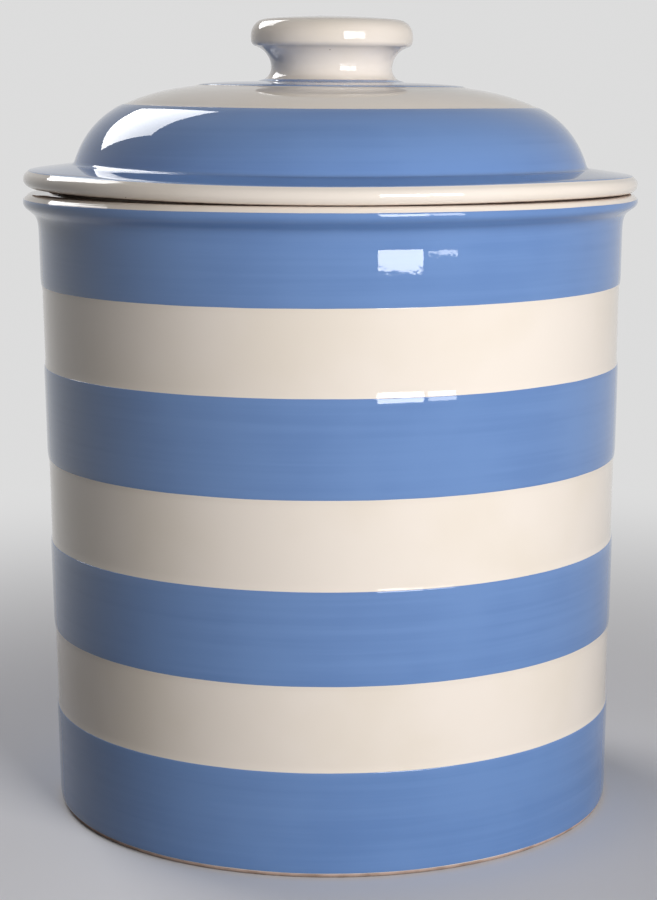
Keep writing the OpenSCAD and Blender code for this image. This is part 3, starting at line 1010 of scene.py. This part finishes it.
def studio_floor(colours, s):
    """Matt pale paint near the crock, where its shadow falls. Further off it melts into the backdrop."""
    made, tree = new_material("matt_painted_floor")
    where = add(tree, "ShaderNodeTexCoord").outputs["Object"]
    seen = seen_directly(tree)
    far = add(tree, "ShaderNodeVectorMath", {"operation": "LENGTH"}, {0: where})
    share = ramp_share(tree, far.outputs["Value"], MELT_FROM, MELT_TO)
    melted = reckoned(tree, "MULTIPLY", share, seen)
    colour = blend_colours(tree, seen, colours.floor_dim, colours.floor)
    paint = add(tree, "ShaderNodeBsdfDiffuse", {}, {"Color": colour})
    glow = {"Color": (*colours.backdrop, 1), "Strength": s.backdrop}
    haze = add(tree, "ShaderNodeEmission", glow)
    parts = {0: melted, 1: paint.outputs[0], 2: haze.outputs[0]}
    both = add(tree, "ShaderNodeMixShader", {}, parts)
    add(tree, "ShaderNodeOutputMaterial", {}, {"Surface": both.outputs[0]})
    return made


class CROCK_OT_stage(bpy.types.Operator):
    """Set up the floor, the soft lamps, the pale background and the camera"""

    bl_idname = "crock.stage"
    bl_label = "Stage"

    def execute(self, context):
        scene, s = context.scene, context.scene.crock_stage
        bpy.ops.object.select_all(action="DESELECT")
        bpy.ops.mesh.primitive_circle_add(radius=FLOOR_R, vertices=96, fill_type="NGON")
        floor = context.object
        floor.name = "stage_floor"
        give(floor, studio_floor(scene.glaze_colours, s))
        lamp(
            "key_lamp", s.key_power,
            bearing=25.1, height=0.43, distance=1.25, width=0.383, tall=0.62,
        )
        lamp(
            "side_lamp", s.side_power,
            bearing=40.7, height=0.437, distance=1.243, width=0.253, tall=0.606,
        )
        lamp(
            "rim_lamp", s.rim_power,
            bearing=-137.5, height=1.198, distance=1.276, width=0.795, tall=0.76, roll=-22,
        )
        world = bpy.data.worlds.new("plain_studio")
        scene.world = world
        world.use_nodes = True
        tree = world.node_tree
        tree.nodes.clear()
        strengths = {2: s.room, 3: s.backdrop}
        level = add(tree, "ShaderNodeMix", strengths, {0: seen_directly(tree)}).outputs[0]
        plain = {"Color": (*scene.glaze_colours.backdrop, 1)}
        back = add(tree, "ShaderNodeBackground", plain, {"Strength": level})
        add(tree, "ShaderNodeOutputWorld", {}, {"Surface": back.outputs[0]})
        bpy.ops.object.camera_add()
        camera = context.object
        camera.name = "photo_camera"
        camera.data.sensor_width = FILM_W
        camera.data.lens = s.lens
        turn = Matrix.Rotation(s.pan, 4, "Z") @ Matrix.Rotation(math.pi / 2 - s.pitch, 4, "X")
        turn = turn @ Matrix.Rotation(s.roll, 4, "Z")
        camera.matrix_world = Matrix.Translation((0, -s.camera_y, s.camera_h)) @ turn
        scene.camera = camera
        scene.view_settings.view_transform = "Standard"
        return {"FINISHED"}


class CROCK_PT_panel(bpy.types.Panel):
    """Pieces of the bread crock"""

    bl_idname = "CROCK_PT_panel"
    bl_label = "Bread crock"
    bl_space_type = "VIEW_3D"
    bl_region_type = "UI"
    bl_category = "Crock"

    def draw(self, context):
        for step in STEPS:
            self.layout.operator(step.bl_idname)
        for group in GROUPS:
            box = self.layout.box()
            for name in GROUPS[group].__annotations__:
                box.prop(getattr(context.scene, group), name)


GROUPS = {
    "crock_sizes": CrockSizes,
    "slip_sizes": SlipSizes,
    "lid_sizes": LidSizes,
    "knob_sizes": KnobSizes,
    "glaze_colours": GlazeColours,
    "crock_stage": StageSettings,
}
STEPS = (CROCK_OT_body, CROCK_OT_wall_bands, CROCK_OT_lid, CROCK_OT_knob, CROCK_OT_stage)


def register():
    for group, kind in GROUPS.items():
        bpy.utils.register_class(kind)
        setattr(bpy.types.Scene, group, bpy.props.PointerProperty(type=kind))
    for kind in (*STEPS, CROCK_PT_panel):
        bpy.utils.register_class(kind)


def unregister():
    for kind in (CROCK_PT_panel, *reversed(STEPS)):
        bpy.utils.unregister_class(kind)
    for group, kind in reversed(GROUPS.items()):
        delattr(bpy.types.Scene, group)
        bpy.utils.unregister_class(kind)


def main():
    register()
    bpy.ops.crock.body()
    bpy.ops.crock.wall_bands()
    bpy.ops.crock.lid()
    bpy.ops.crock.knob()
    bpy.ops.crock.stage()


if __name__ == "__main__":
    main()
